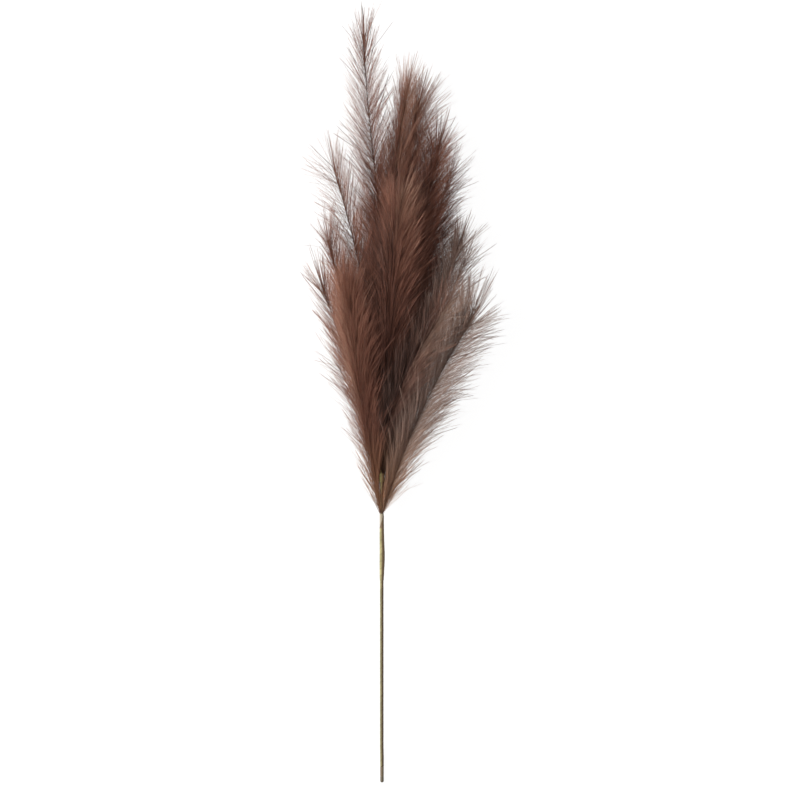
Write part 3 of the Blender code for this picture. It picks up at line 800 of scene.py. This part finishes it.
def spikes(curves, across, radius, tone_cells):
    """Closed three-sided tapering spikes along curves (n, steps + 1, 3): the points, corners,
    face starts and uv of them all. across is level with the root ring's first corner."""
    count, rows = curves.shape[:2]
    steps = rows - 1
    tangents = np.gradient(curves, axis=1)
    tangents /= np.linalg.norm(tangents, axis=2, keepdims=True)
    side = np.cross(tangents, across[:, None])
    side /= np.linalg.norm(side, axis=2, keepdims=True)
    over = np.cross(side, tangents)
    turn = 2 * np.pi * np.arange(FIBRE_SIDES) / FIBRE_SIDES
    wide = radius[:, None] * np.sqrt(1 - TAPER * fibre_stations(steps)[:-1])
    rings = curves[:, :steps, None] + wide[:, :, None, None] * (
        np.cos(turn)[:, None] * over[:, :steps, None]
        + np.sin(turn)[:, None] * np.cross(over, tangents)[:, :steps, None])
    points = np.concatenate([rings.reshape(count, -1, 3), curves[:, -1:]], axis=1)
    step, edge = np.meshgrid(np.arange(steps - 1), np.arange(FIBRE_SIDES), indexing="ij")
    low, high = step * FIBRE_SIDES, (step + 1) * FIBRE_SIDES
    beside = (edge + 1) % FIBRE_SIDES
    quads = np.stack([low + edge, high + edge, high + beside, low + beside], axis=-1)
    last = (steps - 1) * FIBRE_SIDES
    edges = np.arange(FIBRE_SIDES)
    tips = np.stack([last + edges, np.full(FIBRE_SIDES, steps * FIBRE_SIDES),
                     last + (edges + 1) % FIBRE_SIDES], axis=1)
    corners = np.concatenate([quads.ravel(), tips.ravel(), edges])
    sizes = np.concatenate([np.full(quads[..., 0].size, 4), np.full(FIBRE_SIDES + 1, 3)])
    u_low, u_high = edge / FIBRE_SIDES, (edge + 1) / FIBRE_SIDES
    share = fibre_stations(steps)
    v_low, v_high = share[step], share[step + 1]
    quad_uv = np.stack([u_low, v_low, u_low, v_high, u_high, v_high, u_high, v_low], axis=-1)
    tip_v = np.full(FIBRE_SIDES, share[-2])
    tip_uv = np.stack([edges / FIBRE_SIDES, tip_v, (edges + 0.5) / FIBRE_SIDES, np.ones(FIBRE_SIDES),
                       (edges + 1) / FIBRE_SIDES, tip_v], axis=-1)
    uv = np.concatenate([quad_uv.reshape(-1, 2), tip_uv.reshape(-1, 2),
                         ((0.0, 0.0), (1.0, 0.0), (0.5, 0.05))])
    each = np.arange(count)[:, None]
    all_corners = (corners + each * points.shape[1]).ravel()
    starts = np.concatenate([[0], np.cumsum(sizes)[:-1]])
    all_starts = (starts + each * len(corners)).ravel()
    all_uv = np.broadcast_to(uv, (count, *uv.shape)).copy()
    all_uv[..., 0] = (tone_cells[:, None] + 0.1 + 0.8 * all_uv[..., 0]) / TONES
    return points.reshape(-1, 3), all_corners, all_starts, all_uv.reshape(-1, 2)


def over_binding(fibres):
    """Which fibres (n, rows, 3) would hide the lowest binding in the plume: those with a point,
    of several on each step, over the stem between its ends. The parting opens out upwards."""
    blend = (np.arange(PARTING_SAMPLES) / PARTING_SAMPLES)[:, None]
    dense = fibres[:, :-1, None] * (1 - blend) + fibres[:, 1:, None] * blend
    y = dense[..., 1] - FOOT_Y
    above = dense[..., 2] - axis_height(y)
    over = np.abs(dense[..., 0] - AXIS_X) < PARTING_HALF + PARTING_FLARE * above
    over &= (y > TIERS[1] - BINDING_LENGTH + PARTING_MARGIN) & (y < TIERS[1])
    over &= above > 0
    return over.any(axis=(1, 2))


def grow_fibres(name, number):
    """One mesh of a sprig's fibres: pointed locks, whose fibres are drawn towards a guide as they
    go, strands of fibres that cling together as one, and loose single fibres between them."""
    left, right, (locks, strands, loose) = SPRIG_FIBRES[name]
    flat = FLATTER if name in FLAT_SPRIGS else ROUNDER if name in ROUND_SPRIGS else 1.0
    # Painted shade that darkens the strands.
    darker = SPARSE_STRAND_PAINTED_SHADE if name in SPARSE_SPRIGS else STRAND_PAINTED_SHADE
    rng = np.random.default_rng(SEED + number)
    samples = np.linspace(0, 1, WIRE_SAMPLES)
    path = wire_path(name, samples)
    along, level, up = frames_along(path)

    def on_wire(values, at):
        return np.stack([np.interp(at, samples, values[:, axis]) for axis in range(3)], axis=1)

    def thrown(count, end_part, lean_scatter, strays, lengths, roll_scatter):
        """Places and turns of count fibres: share of the wire, side, lean, length, roll, bend and
        tone. Of them end_part, times how thickly its end is set, spring from the wire's end."""
        at_end = np.arange(count) < count * end_part * (left[2][3] + right[2][3]) / 2
        stations = (0.0, 1 / 3, 2 / 3, 1.0)
        thickly = np.concatenate([np.interp(samples, stations, one[2]) for one in (left, right)])
        place = np.interp(rng.uniform(size=count), np.cumsum(thickly) / thickly.sum(),
                          np.concatenate([samples, samples + 1]))
        side = np.where(place < 1, -1.0, 1.0)
        share = np.where(at_end, 1 - np.abs(rng.normal(0, END_SPREAD, count)), place % 1)
        lean, length, tone = (np.where(side < 0, np.interp(share, stations, left[one]),
                                       np.interp(share, stations, right[one])) for one in (0, 1, 3))
        scatter = np.clip(rng.normal(0, 1, count), -2, 2)
        scattered = np.where(rng.uniform(size=count) < strays, STRAY_LEAN,
                             1 + lean_scatter * scatter)
        lean = lean * np.where(at_end, END_LEAN * np.abs(scatter), scattered)
        length = length * np.interp(rng.uniform(size=count), LENGTH_RANKS, lengths)
        roll = np.where(at_end, rng.uniform(-90, 90, count), rng.normal(0, roll_scatter, count))
        bend = lean * rng.uniform(*BEND_SHARES, count)
        bend = np.where(np.abs(bend) < LEAST_BEND, LEAST_BEND, bend)
        return share, side, lean, length, roll, bend, tone

    def curves(share, side, lean, length, roll, bend, steps):
        ahead = on_wire(along, share)
        roll = np.radians(roll)[:, None]
        outward = (np.cos(roll) * side[:, None] * on_wire(level, share)
                   + np.sin(roll) * on_wire(up, share))
        roots = on_wire(path, share) + rng.normal(0, ROOT_SCATTER, (len(share), 3))
        made = fibre_curves(roots, ahead, outward, length, np.radians(lean), np.radians(bend), steps)
        return made, np.cross(ahead, outward)

    share, side, lean, length, roll, bend, lock_tone = thrown(
        locks, end_part=0.07, lean_scatter=0.26, strays=0.07,
        lengths=(0.70, 0.94, 1.04, 1.12), roll_scatter=32 * flat)
    lock = np.repeat(np.arange(locks), PER_LOCK)
    count = len(lock)
    guides, _ = curves(share, side, lean, length, roll, bend, LOCK_STEPS)
    held, held_across = curves(np.clip(share[lock] + rng.normal(0, LOCK_PLACES, count), 0, 1),
                               side[lock], lean[lock] + rng.normal(0, LOCK_LEANS, count),
                               length[lock] * rng.uniform(*LOCK_LENGTHS, count),
                               roll[lock] + rng.normal(0, LOCK_ROLLS, count),
                               bend[lock] + rng.choice(LOCK_BENDS, count), LOCK_STEPS)
    tightness = rng.uniform(*TIGHTNESS, locks)[lock, None, None]
    held += tightness * smoothstep(2 * fibre_stations(LOCK_STEPS))[:, None] * (guides[lock] - held)
    lock_tone = (lock_tone + rng.normal(0, LOCK_TONE_SCATTER, locks))[lock]
    girth = rng.uniform(*LOCK_GIRTHS, locks)[lock]
    *strand_ways, strand_tone = thrown(
        strands, end_part=0.30, lean_scatter=0.28, strays=0.04,
        lengths=(0.66, 0.96, 1.06, 1.16), roll_scatter=26 * flat)
    bold, bold_across = curves(*strand_ways, STRAND_STEPS)
    strand_girth = rng.uniform(*STRAND_GIRTHS, strands)
    *loose_ways, loose_tone = thrown(
        loose, end_part=0.04, lean_scatter=0.32, strays=0.02,
        lengths=(0.55, 0.86, 1.00, 1.10), roll_scatter=46 * flat)
    free, free_across = curves(*loose_ways, LOOSE_STEPS)

    parts = []
    for fibres, across, tones, radius in (
            (held, held_across, lock_tone, LOCK_RADIUS * girth),
            (bold, bold_across, strand_tone - darker, STRAND_RADIUS * strand_girth),
            (free, free_across, loose_tone, LOOSE_RADIUS)):
        count, rows = fibres.shape[:2]
        root_x = fibres[:, :1, 0]
        out_x = np.clip(fibres[:, -1:, 0], cad_box[0][0] - SIDE_ROOM, cad_box[1][0] + SIDE_ROOM)
        within = (out_x - root_x) / (fibres[:, -1:, 0] - root_x)
        fibres = fibres[:, :1] + within[..., None] * (fibres - fibres[:, :1])
        reach = fibre_stations(rows - 1)[:, None]
        fibres = fibres + rng.normal(0, SWAY, (count, 1, 3)) * np.sin(np.pi * reach)
        fibres = fibres + rng.normal(0, TIP_SWAY, (count, 1, 3)) * reach
        height = np.minimum(fibres[..., 2], plume_height(fibres[..., 1] - FOOT_Y) + OVER_PLUME)
        settled = FLOOR_CLEARANCE + (LIFT - FLOOR_CLEARANCE) * np.exp(
            np.minimum(height - LIFT, 0) / (LIFT - FLOOR_CLEARANCE))
        fibres[..., 2] = np.where(height < LIFT, settled, height)
        tones = tones + rng.normal(0, TONE_SCATTER, count)
        cells = np.clip(tones * TONES, 0, TONES * PALEST).astype(int)
        radii = radius * rng.uniform(*GIRTHS, count)
        kept = ~over_binding(fibres)
        parts.append(spikes(fibres[kept], across[kept], radii[kept], cells[kept]))
    points, corners, starts, uv = parts[0]
    for more, more_corners, more_starts, more_uv in parts[1:]:
        starts = np.concatenate([starts, more_starts + len(corners)])
        corners = np.concatenate([corners, more_corners + len(points)])
        points = np.concatenate([points, more])
        uv = np.concatenate([uv, more_uv])
    return mesh_object(name + "_fibres", points, corners, starts, uv,
                       SHADED_LOTS.get(name, red_brown))


for number, name in enumerate(SPRIG_FIBRES):
    grown = grow_fibres(name, number)
    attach(grown, "root")
    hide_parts(name)

# ----------------------------------------------------------
# Floor, light and camera. A white acrylic sheet lit softly from beneath, as product tables
# are, with a large soft light from the left and a faint even light all round.
FLOOR_HALF = 8.0
FLOOR_Z = -0.0002
floor_mesh = bpy.data.meshes.new("floor")
floor_mesh.from_pydata([(x * FLOOR_HALF, y * FLOOR_HALF, FLOOR_Z)
                        for x, y in ((-1, -1), (1, -1), (1, 1), (-1, 1))], [], [(0, 1, 2, 3)])
floor = bpy.data.objects.new("floor", floor_mesh)
bpy.context.scene.collection.objects.link(floor)
acrylic = bpy.data.materials.new("opal acrylic sheet")
acrylic.use_nodes = True
shader = acrylic.node_tree.nodes["Principled BSDF"]
shader.inputs["Base Color"].default_value = (0.08, 0.08, 0.08, 1.0)
shader.inputs["Roughness"].default_value = 0.8
shader.inputs["Emission Color"].default_value = (1.0, 1.0, 1.0, 1.0)
shader.inputs["Emission Strength"].default_value = 0.95
floor_mesh.materials.append(acrylic)

world = bpy.data.worlds.new("studio air")
world.use_nodes = True
world.node_tree.nodes["Background"].inputs["Color"].default_value = (1.0, 0.97, 0.95, 1.0)
world.node_tree.nodes["Background"].inputs["Strength"].default_value = 0.55
bpy.context.scene.world = world


def soft_light(name, position, target, size, power, colour):
    """A square area light of a side in metres that faces the target."""
    lamp = bpy.data.lights.new(name, "AREA")
    lamp.size = size
    lamp.energy = power
    lamp.color = colour
    holder = bpy.data.objects.new(name, lamp)
    holder.location = position
    toward = np.asarray(target, float) - np.asarray(position, float)
    yaw = np.arctan2(-toward[0], toward[1])
    pitch = np.arctan2(np.hypot(toward[0], toward[1]), -toward[2])
    holder.rotation_euler = (pitch, 0.0, yaw)
    holder.visible_camera = False
    bpy.context.scene.collection.objects.link(holder)


soft_light("key", (-3.0, 0.4, 1.9), (0.0, 0.05, 0.0), 1.6, 180.0, (1.0, 0.97, 0.93))

LENS = 200.0
SENSOR = 36.0
VIEW_WIDTH = 1.1766
VIEW_CENTRE = (-0.0093, -0.0012)
VIEW_HEIGHT = 0.03
camera = bpy.data.cameras.new("camera")
camera.lens = LENS
camera.sensor_width = SENSOR
camera.clip_end = 60.0
holder = bpy.data.objects.new("camera", camera)
holder.location = (*VIEW_CENTRE, VIEW_HEIGHT + VIEW_WIDTH * LENS / SENSOR)
bpy.context.scene.collection.objects.link(holder)
bpy.context.scene.camera = holder
bpy.context.scene.view_settings.view_transform = "Standard"
